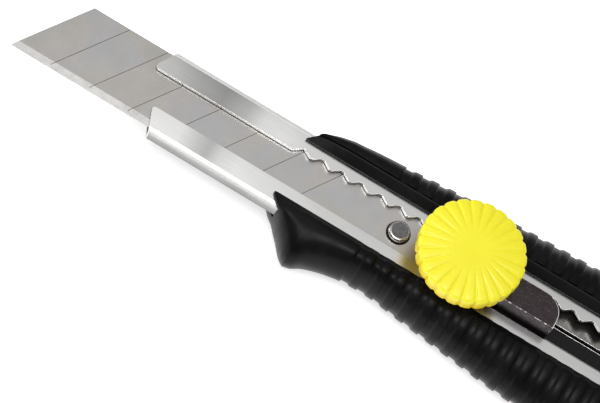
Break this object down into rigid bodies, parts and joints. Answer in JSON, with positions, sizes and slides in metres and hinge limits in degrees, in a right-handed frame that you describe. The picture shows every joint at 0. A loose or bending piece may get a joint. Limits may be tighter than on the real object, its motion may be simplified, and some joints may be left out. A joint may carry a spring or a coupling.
{
  "type": "utility knife",
  "caption": "Snap-off blade utility knife with a toothed steel channel, a black ribbed grip with finger guard, and a yellow locking wheel on its slider.",
  "frame": {"origin": "on the flat back face that the knife lies on, midway between the front of the steel channel and the end of the tail cap, on the middle line of the channel", "axes": "+X towards the blade tip, +Y towards the cutting edge side, +Z from the back face up to the locking wheel"},
  "size_m": [0.189, 0.0382, 0.0235],
  "materials": {
    "blade_steel": "satin ground carbon steel",
    "stainless": "bright stainless sheet",
    "blackened_steel": "blackened and burnished steel",
    "zinc_steel": "zinc plated steel",
    "spring_steel": "tempered spring steel",
    "brass": "turned brass",
    "hard_black": "fine matt ABS",
    "soft_black": "semi-matt elastomer",
    "wheel_yellow": "satin moulded acetal"
  },
  "bodies": {
    "handle": {"steel_channel": "stainless", "handle_core": "hard_black", "spine_grip": "soft_black", "edge_grip": "soft_black", "back_pad": "soft_black", "channel_rivet_1": "zinc_steel", "channel_rivet_2": "zinc_steel", "channel_rivet_3": "zinc_steel", "channel_rivet_4": "zinc_steel"},
    "tail": {"tail_cap": "hard_black"},
    "slider": {"snap_blade": "blade_steel", "carrier_plate": "blackened_steel", "blade_pin": "blackened_steel", "slider_cover": "blackened_steel", "clamp_stud": "zinc_steel", "lift_spring": "spring_steel"},
    "clamp": {"lock_plate": "zinc_steel", "wheel_washer": "zinc_steel"},
    "wheel": {"lock_wheel": "wheel_yellow", "wheel_insert": "brass"}
  },
  "joints": [
    {"name": "slider_travel", "type": "slide", "parent": "handle", "child": "slider", "axis": [1, 0, 0], "range_m": [-0.03888, 0.03402]},
    {"name": "clamp_lift", "type": "slide", "parent": "slider", "child": "clamp", "axis": [0, 0, 1], "range_m": [-0.001, 0], "deforming": ["lift_spring"]},
    {"name": "wheel_turn", "type": "hinge", "parent": "clamp", "child": "wheel", "pos_m": [0.0014, 0, 0.02], "axis": [0, 0, 1], "range_deg": [-360, 0]},
    {"name": "cap_pull", "type": "slide", "parent": "handle", "child": "tail", "axis": [-1, 0, 0], "range_m": [0, 0.012]}
  ],
  "couplings": [
    {"joint": "clamp_lift", "follows": "wheel_turn", "m_per_rad": 0.00015914}
  ]
}
